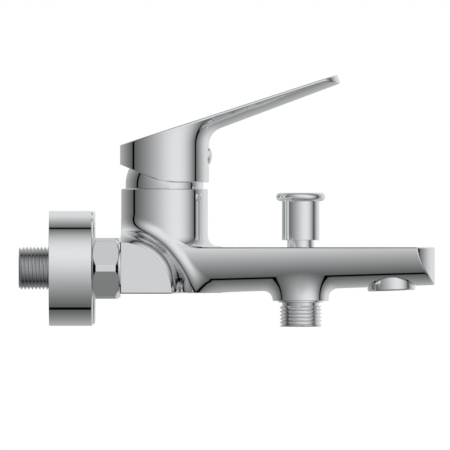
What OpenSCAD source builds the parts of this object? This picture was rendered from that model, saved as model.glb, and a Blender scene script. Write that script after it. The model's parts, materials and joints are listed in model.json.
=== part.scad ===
// Wall mounted single-lever bath faucet with pull-up diverter.
// X points out of the wall, Y along the wall, Z up. Millimetres.
// Origin: wall plane, at the height of the inlets and mid-way between them.

/* [Inlets] */
// Distance between the two supply inlets
inlet_centres = 150; // [140:1:160]
// Length of the thread that goes into the wall
wall_thread_length = 15; // [10:0.5:20]
// Escutcheon diameter
escutcheon_d = 56.9; // [50:0.1:65]
// Escutcheon depth from the wall
escutcheon_depth = 21.6; // [20.6:0.1:21.6]
// Union nut size across flats
nut_across_flats = 30; // [29:0.5:32]

/* [Body] */
// Radius of the quarter-round crossbar at its ends
crossbar_r = 25.5; // [25:0.1:27]
// Overall length of the crossbar
crossbar_length = 176; // [174:1:190]
// Tower diameter, for a 35 mm cartridge
tower_d = 43.3; // [43:0.1:45]
// Height of the tower's rim above the inlets
tower_top = 39.4; // [39.4:0.1:41]

/* [Spout] */
// Distance of the spout's tip from the wall
spout_reach = 192; // [190:1:200]
// Height of the spout's flat top above the inlets
spout_top = 10.35; // [10.2:0.05:10.6]
// Distance of the shower outlet and diverter from the wall
diverter_x = 124.95; // [122:0.1:130]
// Lift of the diverter knob
diverter_travel = 7; // [5:0.5:7]
// Distance of the aerator from the wall
aerator_x = 170.35; // [168:0.1:172]

/* [Lever] */
// Diameter of the lever's cap
cap_d = 44.5; // [44:0.1:46]
// Distance of the lever's tip from the wall
lever_reach = 143; // [130:1:155]
// Slope of the lever's top face, in degrees
lever_slope = 18; // [16:0.5:20]
// Radius of the blade's rounded tip, seen from above
blade_tip_r = 14; // [13:0.5:18]

/* [Hidden] */
$fn = 64;

chrome = [0.80, 0.81, 0.82];
brass = [0.79, 0.64, 0.32];
rubber = [0.13, 0.13, 0.14];
steel = [0.62, 0.63, 0.64];
ceramic = [0.93, 0.92, 0.88];
white_plastic = [0.90, 0.90, 0.88];
grey_plastic = [0.45, 0.46, 0.48];

// Pipe threads: crest radius, pitch and depth; a thread is drawn as parallel rings
g12_r = 10.4775;
g34_r = 13.22;
pipe_pitch = 1.814;
pipe_depth = 1.05;
crest_land = 0.35;
fit_gap = 0.08;

inlet_y = inlet_centres / 2;
left = -1;
right = 1;

// Inlet line, all measured from the wall along X
union_front = 27.4;
nut_thread_end = union_front - 0.4;
union_bore_r = 6.5;
union_neck_r = 9.3;
union_barrel_r = 11.5;
nut_rear = escutcheon_depth + 0.1;
nut_front = 34.4;
nut_lip = 2.4;
washer_t = 2;
tail_flange_r = 11.7;
tail_flange_t = 2.3;
tail_neck_r = 9.9;
tail_collar_r = 12;
tail_bore_r = 5.5;
tail_spigot_r = 9.6;
tail_spigot_end = 42.5;
tail_rear = union_front + washer_t;
escutcheon_wall = 1.4;
escutcheon_hole_r = 14.6;

// Body
body_back = 35.5;
body_bottom = -12.5;
crossbar_end = crossbar_length / 2;
tower_x = 56.85;
tower_r = tower_d / 2;
shoulder_front = 78.9;
shoulder_top = 6;
shoulder_half_w = 21.4;
crossbar_root_r = 30.5;
arm_fillet = 8;
blend_bite = 0.05;
supply_x = 46;
supply_r = 6;
supply_gap = 3.5;
port_in = [-5, 7.2];
port_in_r = 3.8;
port_out = 7.2;
port_out_r = 4.8;

// Spout
spout_root_r = 21.5;
spout_root_axis_z = 8.5;
spout_tip_r = 20;
spout_tip_axis_z = 11.5;
spout_tip_plan_r = 26.8;
spout_axis_tilt = atan((spout_tip_axis_z - spout_root_axis_z) / (spout_reach - tower_x));
root_fillet = 6;
boss_r = 14.05;
boss_bottom = -16.45;
boss_skirt_r = 18.5;
boss_skirt_bottom = -14;
boss_skirt_top = -1;
nipple_r = 9.4;
valve_chamber_r = nipple_r + fit_gap + 0.12;
valve_seat_z = -8.5;
valve_stack = 2.5;
upper_seat_z = valve_seat_z + valve_stack + diverter_travel + 0.1;
upper_seat_t = 1.5;
seat_hole_r = 5;
upper_chamber_r = 8;
upper_chamber_top = 7.8;

// Cartridge, from its seat in the tower upwards
seat_z = 8;
cartridge_r = 17.5;
cartridge_bore_r = 17.7;
nut_bore_r = 19.1;
base_top = seat_z + 4;
fixed_top = base_top + 3.5;
moving_top = fixed_top + 3.5;
carrier_top = moving_top + 6;
housing_top = 31.5;
rotor_top = 45.5;
pivot_z = 41.5;
spindle_arm = 18;
disc_offset = 3.8;
spindle_lean = asin(disc_offset / spindle_arm);
spindle_x = 6;
spindle_y = 8;
dome_r = 19.45;
dome_hole_r = 12.5;

// Lever
cap_r = cap_d / 2;
cap_back_z = 61.45;
cap_rim_z = 42.85;
rim_arc_r = 41;
rim_arc_x = 64;
rim_tilt = 23;
blade_tip_drop = 4.55;
blade_tip_lean = 1.2;
blade_under_slope = 20.5;
blade_fillet = 9;
cavity_r = 20.3;
hub_r = 8;
hub_bottom = 50;
screw_z = 56.1;
plug_r = 4.1;

// Diverter
gland_r = 6.7;
gland_thread_r = 5.5;
gland_bottom = 5;
gland_top = 24;
rod_r = 2;
knob_r = 9.35;
knob_bottom = 13.85;
knob_flange_bottom = 33.5;
knob_top = 37.65;
knob_flange_r = 12.2;

// Aerator
aerator_r = 11.95;
aerator_tilt = 2.2;
aerator_face_z = -11.35;

// Points of a ring-grooved outline from z = from, n rings, as [radius, height]
function ring_thread(r, from, n, depth = pipe_depth, pitch = pipe_pitch) = [
    for (i = [0 : n - 1])
        each [
            [r - depth, from + i * pitch],
            [r, from + (i + 0.5) * pitch - crest_land / 2],
            [r, from + (i + 0.5) * pitch + crest_land / 2],
            [r - depth, from + (i + 1) * pitch]
        ]
];

// Points of an arc about a centre, from angle a to angle b
function arc(centre, r, a, b, steps = 12) = [
    for (i = [0 : steps]) centre + r * [cos(a + (b - a) * i / steps), sin(a + (b - a) * i / steps)]
];

// Children drawn about Z are laid along X, their Z becoming X
module along_x(y = 0, z = 0) {
    translate([0, y, z]) rotate([0, 90, 0]) children();
}

// A ring of rectangular section about Z
module ring(r_out, r_in, from, to) {
    translate([0, 0, from]) difference() {
        cylinder(r = r_out, h = to - from);
        translate([0, 0, -1]) cylinder(r = r_in, h = to - from + 2);
    }
}

// An O-ring about Z
module o_ring(centre_r, section_r, z) {
    translate([0, 0, z]) rotate_extrude() translate([centre_r, 0]) circle(r = section_r);
}

// A horizontal bore between two points of the X axis direction
module bore_x(r, from, to, y = 0, z = 0) {
    translate([from, y, z]) rotate([0, 90, 0]) cylinder(r = r, h = to - from);
}

module bore_y(r, x, from, to, z = 0) {
    translate([x, from, z]) rotate([-90, 0, 0]) cylinder(r = r, h = to - from);
}

module bore_z(r, x, y, from, to) {
    translate([x, y, from]) cylinder(r = r, h = to - from);
}

// Space in front of the back plane and above the bottom plane
module body_quadrant() {
    translate([body_back, -crossbar_length, body_bottom]) cube([200, 2 * crossbar_length, 200]);
}

// Crossbar: a tapered profile turned about the back lower edge, a quarter of it kept
module crossbar() {
    fillet_y = shoulder_half_w + arm_fillet;
    taper = (crossbar_root_r - crossbar_r) / (crossbar_end - shoulder_half_w);
    fillet_r = crossbar_root_r - taper * arm_fillet + arm_fillet - blend_bite;
    intersection() {
        translate([body_back, 0, body_bottom]) rotate([90, 0, 0]) rotate_extrude() difference() {
            union() {
                polygon([
                    [0, -crossbar_end],
                    [crossbar_r, -crossbar_end],
                    [crossbar_root_r, -shoulder_half_w],
                    [crossbar_root_r, shoulder_half_w],
                    [crossbar_r, crossbar_end],
                    [0, crossbar_end]
                ]);
                translate([0, -fillet_y]) square([fillet_r, 2 * fillet_y]);
            }
            translate([fillet_r, fillet_y]) circle(r = arm_fillet);
            translate([fillet_r, -fillet_y]) circle(r = arm_fillet);
        }
        body_quadrant();
    }
}

// Block that carries the crossbar's bottom forward to the spout
module shoulder_block() {
    half_w = shoulder_half_w - 0.3;
    translate([body_back, -half_w, body_bottom])
        cube([shoulder_front - body_back, 2 * half_w, shoulder_top - body_bottom]);
}

module tower() {
    translate([tower_x, 0, body_bottom]) cylinder(r = tower_r, h = tower_top - body_bottom);
}

// Round-bottomed spout: a slow cone from under the tower out to the rounded tip
module spout() {
    intersection() {
        translate([tower_x, 0, spout_root_axis_z]) rotate([0, 90 - spout_axis_tilt, 0])
            cylinder(r1 = spout_root_r, r2 = spout_tip_r, h = spout_reach + 2 - tower_x);
        translate([tower_x + 1, -50, -50]) cube([200, 100, 50 + spout_top]);
        union() {
            translate([spout_reach - spout_tip_plan_r, 0, -50]) cylinder(r = spout_tip_plan_r, h = 100);
            translate([tower_x, -50, -50]) cube([spout_reach - tower_x - spout_tip_plan_r, 100, 100]);
        }
    }
}

// Concave fillet where the tower stands on the spout
module root_fillet_ring() {
    centre_r = tower_r + root_fillet - blend_bite;
    intersection() {
        translate([tower_x, 0, spout_top]) rotate_extrude() difference() {
            translate([0, -1]) square([centre_r, root_fillet + 1]);
            translate([centre_r, root_fillet - blend_bite]) circle(r = root_fillet);
        }
        translate([tower_x, -spout_root_r + 0.9, 0]) cube([60, 2 * spout_root_r - 1.8, 60]);
    }
}

module boss() {
    translate([diverter_x, 0, boss_bottom]) cylinder(r = boss_r, h = -boss_bottom);
    translate([diverter_x, 0, boss_skirt_bottom])
        cylinder(r1 = boss_r - 0.1, r2 = boss_skirt_r, h = boss_skirt_top - boss_skirt_bottom);
}

module at_aerator() {
    translate([aerator_x, 0, aerator_face_z]) rotate([0, -aerator_tilt, 0]) children();
}

// Hot and cold ways from the inlets to the cartridge
module supply_ways() {
    for (side = [left, right]) {
        bore_x(tail_spigot_r + fit_gap, body_back - 1, tail_spigot_end + 0.5, side * inlet_y);
        bore_x(supply_r - 0.5, tail_spigot_end, supply_x, side * inlet_y);
        near = side * supply_gap;
        far = side * (inlet_y + supply_r);
        bore_y(supply_r, supply_x, min(near, far), max(near, far));
        bore_z(port_in_r, tower_x + port_in[0], side * port_in[1], 0, seat_z + 1);
    }
}

// Mixed water: cartridge outlet, diverter chamber and the way to the aerator
module outlet_ways() {
    bore_z(port_out_r, tower_x + port_out, 0, -3, seat_z + 1);
    bore_x(5.5, tower_x + port_out - 2, diverter_x - valve_chamber_r + 0.6, 0, -3);
    bore_z(valve_chamber_r, diverter_x, 0, boss_bottom - 1, upper_seat_z);
    bore_z(seat_hole_r, diverter_x, 0, upper_seat_z - 1, upper_seat_z + upper_seat_t + 1);
    bore_z(upper_chamber_r, diverter_x, 0, upper_seat_z + upper_seat_t, upper_chamber_top);
    bore_z(gland_thread_r + fit_gap, diverter_x, 0, upper_chamber_top - 1, spout_top + 1);
    translate([diverter_x, -6, upper_seat_z + upper_seat_t]) cube([16, 12, 5]);
    bore_x(6, diverter_x + 13, aerator_x, 0, 1);
    at_aerator() translate([0, 0, -2]) cylinder(r = aerator_r + 0.1, h = 11.5);
    at_aerator() translate([0, 0, 9]) cylinder(r = 9.5, h = 5.5);
}

module cartridge_seat() {
    bore_z(cartridge_bore_r, tower_x, 0, seat_z, tower_top + 1);
    bore_z(nut_bore_r, tower_x, 0, housing_top - 0.5, tower_top + 1);
    for (side = [left, right])
        bore_z(2, tower_x + 5, side * 10, seat_z - 3, seat_z + 1);
}

module faucet_body() {
    color(chrome) difference() {
        union() {
            crossbar();
            shoulder_block();
            tower();
            spout();
            root_fillet_ring();
            boss();
        }
        supply_ways();
        outlet_ways();
        cartridge_seat();
    }
}

// Inlet union: wall thread, neck, barrel and nut thread turned in one piece
module wall_union(side) {
    wall_rings = floor((wall_thread_length - 0.4) / pipe_pitch);
    nut_rings = 5;
    nut_thread_start = nut_thread_end - nut_rings * pipe_pitch;
    color(chrome) along_x(side * inlet_y) rotate_extrude() polygon(concat(
        [[union_bore_r, -wall_thread_length], [g12_r - pipe_depth, -wall_thread_length]],
        ring_thread(g12_r, -wall_thread_length + 0.3, wall_rings),
        [[union_neck_r, 0.4], [union_neck_r, 4], [union_barrel_r, 6], [union_barrel_r, nut_thread_start]],
        ring_thread(g34_r, nut_thread_start, nut_rings),
        [[g34_r - pipe_depth, union_front], [union_bore_r, union_front]]
    ));
}

// Cup over the hole in the wall, open at the back
module escutcheon(side) {
    r = escutcheon_d / 2;
    bevel = 0.7;
    color(chrome) along_x(side * inlet_y) rotate_extrude() polygon([
        [r - escutcheon_wall, 0],
        [r, 0],
        [r, escutcheon_depth - bevel],
        [r - bevel, escutcheon_depth],
        [escutcheon_hole_r, escutcheon_depth],
        [escutcheon_hole_r, escutcheon_depth - escutcheon_wall],
        [r - escutcheon_wall, escutcheon_depth - escutcheon_wall]
    ]);
}

module grip_ring(side) {
    from = escutcheon_depth - 3.2;
    to = escutcheon_depth - 0.2;
    groove = escutcheon_hole_r + 0.9;
    color(rubber) along_x(side * inlet_y) rotate_extrude() polygon([
        [g34_r + 0.1, from],
        [groove, from],
        [groove, escutcheon_depth - escutcheon_wall],
        [escutcheon_hole_r, escutcheon_depth - escutcheon_wall],
        [escutcheon_hole_r, to],
        [g34_r + 0.1, to]
    ]);
}

// Outline of the nut: hexagon with its corners cut flat and both ends chamfered
module nut_blank() {
    length = nut_front - nut_rear;
    corner_flat = nut_across_flats * 0.5485;
    chamfer = 1.3;
    intersection() {
        cylinder(d = nut_across_flats / cos(30), h = length, $fn = 6);
        rotate(30) cylinder(r = corner_flat / cos(30), h = length, $fn = 6);
        rotate_extrude() polygon([
            [0, 0],
            [corner_flat - chamfer, 0],
            [corner_flat + 0.5, chamfer],
            [corner_flat + 0.5, length - chamfer],
            [corner_flat - chamfer, length],
            [0, length]
        ]);
    }
}

module union_nut(side) {
    rings = 3;
    gap = 0.15;
    lip_hole_r = tail_neck_r + gap;
    lip_start = nut_front - nut_lip;
    color(chrome) along_x(side * inlet_y) difference() {
        translate([0, 0, nut_rear]) rotate(30) nut_blank();
        rotate_extrude() polygon(concat(
            [[0, nut_rear - 1], [g34_r - pipe_depth + gap, nut_rear - 1]],
            ring_thread(g34_r + gap, nut_thread_end - rings * pipe_pitch, rings),
            [[g34_r - pipe_depth + gap, lip_start], [lip_hole_r, lip_start]],
            [[lip_hole_r, nut_front + 1], [0, nut_front + 1]]
        ));
    }
}

// Tail that carries the nut: flange, neck, collar and the spigot screwed into the body
module inlet_tail(side) {
    groove = 1.2;
    color(chrome) along_x(side * inlet_y) rotate_extrude() polygon([
        [tail_bore_r, tail_rear],
        [tail_flange_r, tail_rear],
        [tail_flange_r, tail_rear + tail_flange_t],
        [tail_neck_r, tail_rear + tail_flange_t],
        [tail_neck_r, nut_front + 0.1],
        [tail_collar_r, nut_front + 0.1],
        [tail_collar_r, body_back],
        [tail_spigot_r, body_back],
        [tail_spigot_r, body_back + 2],
        [tail_spigot_r - groove, body_back + 2],
        [tail_spigot_r - groove, body_back + 4],
        [tail_spigot_r, body_back + 4],
        [tail_spigot_r, tail_spigot_end],
        [tail_bore_r, tail_spigot_end]
    ]);
}

module tail_seal(side) {
    color(rubber) along_x(side * inlet_y) ring(tail_spigot_r, tail_spigot_r - 1.2, body_back + 2.1, body_back + 3.9);
}

module union_washer(side) {
    color(rubber) along_x(side * inlet_y) ring(tail_flange_r - 0.2, union_bore_r, union_front, tail_rear);
}

// Perforated cup that sits in the tail's mouth
module strainer(side) {
    cup_r = tail_bore_r - 0.1;
    color(steel) along_x(side * inlet_y) translate([0, 0, tail_rear]) difference() {
        cylinder(r = cup_r, h = 6);
        translate([0, 0, -1]) cylinder(r = cup_r - 0.5, h = 6.5);
        for (turn = [0 : 60 : 300])
            rotate(turn) translate([2.9, 0, 0]) cylinder(r = 0.9, h = 8);
        cylinder(r = 0.9, h = 8);
    }
}

module at_tower() {
    translate([tower_x, 0, 0]) children();
}

module cartridge_ports(grow, from, to) {
    for (side = [left, right])
        bore_z(port_in_r + grow, port_in[0], side * port_in[1], from, to);
    bore_z(port_out_r + grow, port_out, 0, from, to);
}

// Floor of the cartridge with its three ports and two locating pegs
module cartridge_base() {
    color(white_plastic) at_tower() difference() {
        union() {
            bore_z(cartridge_r, 0, 0, seat_z, seat_z + 2);
            bore_z(15.9, 0, 0, seat_z + 2, base_top);
            for (side = [left, right])
                bore_z(1.9, 5, side * 10, seat_z - 2.5, seat_z + 1);
        }
        cartridge_ports(-0.6, seat_z - 1, base_top + 1);
        cartridge_ports(0.9, seat_z - 1, seat_z + 1.2);
    }
}

module cartridge_port_seals() {
    color(rubber) at_tower() difference() {
        cartridge_ports(0.85, seat_z, seat_z + 1.15);
        cartridge_ports(-0.6, seat_z - 1, base_top);
    }
}

module fixed_disc() {
    color(ceramic) at_tower() difference() {
        bore_z(14.5, 0, 0, base_top, fixed_top);
        cartridge_ports(-1, base_top - 1, fixed_top + 1);
    }
}

// Disc with the mixing pocket in its underside
module moving_disc() {
    color(ceramic) at_tower() translate([-disc_offset, 0, 0]) difference() {
        bore_z(11.9, 0, 0, fixed_top, moving_top);
        bore_z(5, 3.4, 0, fixed_top - 1, fixed_top + 2);
        translate([-3, -5, fixed_top - 1]) cube([6, 10, 3]);
    }
}

// Carrier that grips the disc and takes the ball end of the spindle in a slot
module disc_carrier() {
    ball_slot = 3.35;
    color(grey_plastic) at_tower() translate([-disc_offset, 0, 0]) difference() {
        bore_z(11.9, 0, 0, moving_top, carrier_top);
        bore_z(ball_slot, 0, 0, moving_top + 0.8, carrier_top + 1);
        translate([-ball_slot, -6.5, carrier_top - 1.5]) cube([2 * ball_slot, 13, 3]);
    }
}

module cartridge_housing() {
    color(grey_plastic) at_tower() difference() {
        union() {
            bore_z(cartridge_r, 0, 0, seat_z + 2, housing_top);
            bore_z(12.2, 0, 0, housing_top, housing_top + 4);
        }
        bore_z(16, 0, 0, seat_z + 1, 28.5);
        bore_z(11.05, 0, 0, 28, housing_top + 5);
    }
}

// Collar that turns in the housing and lets the spindle swing in its slot
module cartridge_rotor() {
    color(white_plastic) at_tower() difference() {
        union() {
            bore_z(15.8, 0, 0, carrier_top + 0.3, 28.4);
            bore_z(11, 0, 0, 28, rotor_top);
        }
        translate([-7.6, -spindle_y / 2 - 0.15, carrier_top - 1]) cube([15.2, spindle_y + 0.3, 30]);
        bore_y(1.52, 0, -12, 12, pivot_z);
    }
}

module spindle_pin() {
    color(steel) at_tower() bore_y(1.5, 0, -10, 10, pivot_z);
}

// Children drawn about the lever's pivot, leaning as the spindle does at rest
module at_spindle() {
    translate([tower_x, 0, pivot_z]) rotate([0, spindle_lean, 0]) children();
}

module lever_spindle() {
    ball_r = 3.2;
    top = 22;
    color(steel) difference() {
        at_spindle() union() {
            translate([-spindle_x / 2, -spindle_y / 2, -12]) cube([spindle_x, spindle_y, 12 + top]);
            translate([0, 0, -spindle_arm]) cylinder(r = 2.2, h = 8);
            translate([0, 0, -spindle_arm]) sphere(r = ball_r);
        }
        at_tower() bore_y(1.53, 0, -12, 12, pivot_z);
    }
}

module retaining_nut() {
    top = 36.6;
    color(brass) at_tower() difference() {
        ring(nut_bore_r - fit_gap, 12.4, housing_top, top);
        for (turn = [0 : 90 : 270])
            rotate(turn) translate([14, -2, top - 2.5]) cube([10, 4, 5]);
    }
}

// Polished dome with the skirt that presses into the tower
module dome_cover() {
    shell = 1.1;
    color(chrome) difference() {
        union() {
            intersection() {
                translate([tower_x, 0, pivot_z]) sphere(r = dome_r);
                translate([0, -50, tower_top + 0.05]) cube([150, 100, 60]);
            }
            bore_z(18.9, tower_x, 0, 36.8, tower_top + 1);
        }
        translate([tower_x, 0, pivot_z]) sphere(r = dome_r - shell);
        bore_z(17.6, tower_x, 0, 30, pivot_z);
        bore_z(dome_hole_r, tower_x, 0, 30, 80);
        at_tower() ring(19.5, 18.2, 37.6, 38.8);
    }
}

module dome_seal() {
    color(rubber) at_tower() ring(19.0, 18.25, 37.7, 38.7);
}

// The cap's round section runs up, around a bend about this point and out along the blade
lever_back_x = tower_x - cap_r;
lever_tip = [lever_reach, cap_back_z + (lever_reach - lever_back_x) * tan(lever_slope)];
bend_x = tower_x + cap_r + blade_fillet;
bend_z = lever_tip[1] - blade_tip_drop - (lever_tip[0] + blade_tip_lean - bend_x) * tan(blade_under_slope)
    - blade_fillet / cos(blade_under_slope);

module lever_sweep() {
    sweep_r = cap_r + blade_fillet;
    blade_turn = 90 + blade_under_slope;
    bore_z(cap_r, tower_x, 0, 30, bend_z);
    translate([bend_x, 0, bend_z]) rotate([90, 0, 0]) rotate(blade_turn) {
        rotate_extrude(angle = 180 - blade_turn) translate([sweep_r, 0]) circle(r = cap_r);
        translate([sweep_r, 0, 0]) rotate([90, 0, 0]) cylinder(r = cap_r, h = 90);
    }
}

// Space under the slanted rim of the cap, kept free for the lift
module under_rim() {
    arc_end_x = rim_arc_x - rim_arc_r * sin(rim_tilt);
    arc_end_z = cap_rim_z + rim_arc_r * (1 - cos(rim_tilt));
    back = lever_back_x - 5;
    translate([0, 50, 0]) rotate([90, 0, 0]) linear_extrude(100) polygon(concat(
        [[lever_reach, 0], [lever_reach, cap_rim_z]],
        arc([rim_arc_x, cap_rim_z + rim_arc_r], rim_arc_r, 270, 270 - rim_tilt, 8),
        [[back, arc_end_z + (arc_end_x - back) * tan(rim_tilt)], [back, 0]]
    ));
}

// Prism on the lever's sloping top face, ending in the rounded tip
module lever_prism() {
    length = (lever_reach - lever_back_x) / cos(lever_slope) + 0.3;
    translate([lever_back_x, 0, cap_back_z]) rotate([0, -lever_slope, 0]) translate([0, 0, -60])
        linear_extrude(60) {
            translate([-30, -30]) square([length - blade_tip_r + 30, 60]);
            translate([length - blade_tip_r, 0]) circle(r = blade_tip_r);
        }
}

module lever_handle() {
    color(chrome) difference() {
        union() {
            difference() {
                intersection() {
                    lever_sweep();
                    lever_prism();
                }
                under_rim();
                translate([tower_x, 0, pivot_z]) sphere(r = cavity_r);
            }
            intersection() {
                at_spindle() translate([0, 0, hub_bottom - pivot_z]) cylinder(r = hub_r, h = 14);
                bore_z(cap_r - 2, tower_x, 0, 40, 66);
            }
        }
        at_spindle() translate([-spindle_x / 2 - 0.05, -spindle_y / 2 - 0.05, 0])
            cube([spindle_x + 0.1, spindle_y + 0.1, 22.1]);
        bore_x(2.55, tower_x, tower_x + cap_r + 1, 0, screw_z);
        bore_x(plug_r + 0.05, tower_x + cap_r - 3, tower_x + cap_r + 1, 0, screw_z);
    }
}

module handle_screw() {
    tip_x = tower_x + (screw_z - pivot_z) * tan(spindle_lean) + spindle_x / 2 / cos(spindle_lean) + 0.7;
    color(steel) difference() {
        bore_x(2.5, tip_x, tip_x + 4.2, 0, screw_z);
        translate([tip_x + 2, 0, screw_z]) rotate([0, 90, 0]) cylinder(r = 1.45, h = 3, $fn = 6);
    }
}

module index_plug() {
    front = 1.6;
    dome = 7.2;
    color(steel) translate([tower_x + cap_r, 0, screw_z]) rotate([0, 90, 0]) intersection() {
        translate([0, 0, -2.9]) cylinder(r = plug_r, h = 2.9 + front);
        translate([0, 0, front - dome]) sphere(r = dome);
    }
}

// Knob: hollow sleeve under a flange with a round rim
module diverter_knob() {
    rim_r = (knob_top - knob_flange_bottom) / 2;
    color(chrome) translate([diverter_x, 0, 0]) difference() {
        union() {
            bore_z(knob_r, 0, 0, knob_bottom, knob_flange_bottom + 1);
            bore_z(knob_flange_r - rim_r, 0, 0, knob_flange_bottom, knob_top);
            o_ring(knob_flange_r - rim_r, rim_r, knob_flange_bottom + rim_r);
        }
        bore_z(gland_r + 0.25, 0, 0, knob_bottom - 1, 31.5);
        bore_z(rod_r, 0, 0, 31, 36);
    }
}

module diverter_rod() {
    color(brass) {
        bore_z(rod_r, diverter_x, 0, valve_seat_z, 36);
        bore_z(3.4, diverter_x, 0, valve_seat_z - 1.6, valve_seat_z);
    }
}

module diverter_layer(r, from, to) {
    translate([diverter_x, 0, 0]) ring(r, rod_r, valve_seat_z + from, valve_seat_z + to);
}

module diverter_washer_lower() {
    color(rubber) diverter_layer(6.6, 0, 0.9);
}

module diverter_valve_disc() {
    color(brass) diverter_layer(7.4, 0.9, 1.6);
}

module diverter_washer_upper() {
    color(rubber) diverter_layer(6.6, 1.6, valve_stack);
}

// Coil spring between the valve and the gland, swept along its helix
module diverter_spring() {
    wire_r = 0.3;
    coil_r = 3.2;
    turns = 6;
    sides = 6;
    steps = 16 * turns;
    low = valve_seat_z + valve_stack + wire_r;
    high = gland_bottom - wire_r;
    function coil_point(i, j) =
        let (turn = 360 * turns * i / steps, roll = 360 * j / sides, r = coil_r + wire_r * cos(roll))
        [r * cos(turn), r * sin(turn), low + (high - low) * i / steps + wire_r * sin(roll)];
    points = [for (i = [0 : steps]) for (j = [0 : sides - 1]) coil_point(i, j)];
    walls = [
        for (i = [0 : steps - 1]) for (j = [0 : sides - 1])
            [i * sides + j, (i + 1) * sides + j, (i + 1) * sides + (j + 1) % sides, i * sides + (j + 1) % sides]
    ];
    start_cap = [for (j = [0 : sides - 1]) j];
    end_cap = [for (j = [sides - 1 : -1 : 0]) steps * sides + j];
    color(steel) translate([diverter_x, 0, 0]) polyhedron(points, concat(walls, [start_cap, end_cap]));
}

// Guide of the rod, screwed into the top of the spout
module diverter_gland() {
    color(chrome) translate([diverter_x, 0, 0]) difference() {
        union() {
            bore_z(gland_thread_r, 0, 0, gland_bottom, spout_top);
            bore_z(gland_r, 0, 0, spout_top, gland_top);
        }
        bore_z(rod_r + 0.08, 0, 0, gland_bottom - 1, gland_top + 1);
        bore_z(3.5, 0, 0, gland_top - 4, gland_top + 1);
    }
}

module gland_seal() {
    color(rubber) translate([diverter_x, 0, 0]) ring(3.45, rod_r + 0.06, gland_top - 4, gland_top - 2);
}

// Shower outlet: the thread for the hose, and the valve's lower seat at its top
module shower_nipple() {
    thread_top = -19;
    bottom = -29.35;
    rings = 5;
    thread_bottom = thread_top - rings * pipe_pitch - 0.5;
    color(chrome) translate([diverter_x, 0, 0]) rotate_extrude() polygon(concat(
        [[7, bottom], [g12_r - pipe_depth, bottom], [g12_r - pipe_depth, thread_bottom]],
        ring_thread(g12_r, thread_bottom, rings),
        [[9.2, thread_top], [9.2, boss_bottom], [nipple_r, boss_bottom]],
        [[nipple_r, -14.2], [8.2, -14.2], [8.2, -12.4], [nipple_r, -12.4]],
        [[nipple_r, valve_seat_z], [seat_hole_r, valve_seat_z], [seat_hole_r, -11], [7, -13]]
    ));
}

module nipple_seal() {
    color(rubber) translate([diverter_x, 0, 0]) ring(nipple_r + 0.05, 8.25, -14.1, -12.5);
}

// Ring that screws up into the spout and holds the insert
module aerator_housing() {
    color(chrome) at_aerator() rotate_extrude() polygon([
        [9.6, 0],
        [aerator_r - 0.6, 0],
        [aerator_r, 0.6],
        [aerator_r, 8.2],
        [10.6, 8.2],
        [10.6, 1.2],
        [9.6, 1.2]
    ]);
}

// Insert with the jet grid at its lower face
module aerator_insert() {
    color(grey_plastic) at_aerator() difference() {
        union() {
            bore_z(9.55, 0, 0, 0.5, 1.3);
            bore_z(10.5, 0, 0, 1.3, 6);
        }
        bore_z(8.8, 0, 0, 2.2, 7);
        for (row = [-3 : 3])
            for (column = [-3 : 3])
                if (norm([row, column]) < 3.2)
                    bore_z(0.85, row * 2.4, column * 2.4, -1, 4);
    }
}

module aerator_screen() {
    color(steel) at_aerator() difference() {
        bore_z(10.5, 0, 0, 6, 6.8);
        for (turn = [0 : 45 : 315])
            rotate(turn) bore_z(1.6, 6.2, 0, 5, 8);
        bore_z(2.4, 0, 0, 5, 8);
    }
}

module aerator_washer() {
    color(rubber) at_aerator() ring(11.6, 8, 8.2, 9);
}

faucet_body();
wall_union(left);  // wall_union_left
wall_union(right);  // wall_union_right
escutcheon(left);  // escutcheon_left
escutcheon(right);  // escutcheon_right
grip_ring(left);  // grip_ring_left
grip_ring(right);  // grip_ring_right
union_nut(left);  // union_nut_left
union_nut(right);  // union_nut_right
inlet_tail(left);  // inlet_tail_left
inlet_tail(right);  // inlet_tail_right
tail_seal(left);  // tail_seal_left
tail_seal(right);  // tail_seal_right
union_washer(left);  // union_washer_left
union_washer(right);  // union_washer_right
strainer(left);  // strainer_left
strainer(right);  // strainer_right
cartridge_base();
cartridge_port_seals();
fixed_disc();
moving_disc();
disc_carrier();
cartridge_housing();
cartridge_rotor();
spindle_pin();
lever_spindle();
retaining_nut();
dome_cover();
dome_seal();
lever_handle();
handle_screw();
index_plug();
diverter_knob();
diverter_rod();
diverter_valve_disc();
diverter_washer_upper();
diverter_washer_lower();
diverter_spring();
diverter_gland();
gland_seal();
shower_nipple();
nipple_seal();
aerator_housing();
aerator_insert();
aerator_screen();
aerator_washer();
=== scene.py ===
"""Wall mounted bath faucet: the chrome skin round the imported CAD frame, its materials, studio and camera."""

import json
import math

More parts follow.
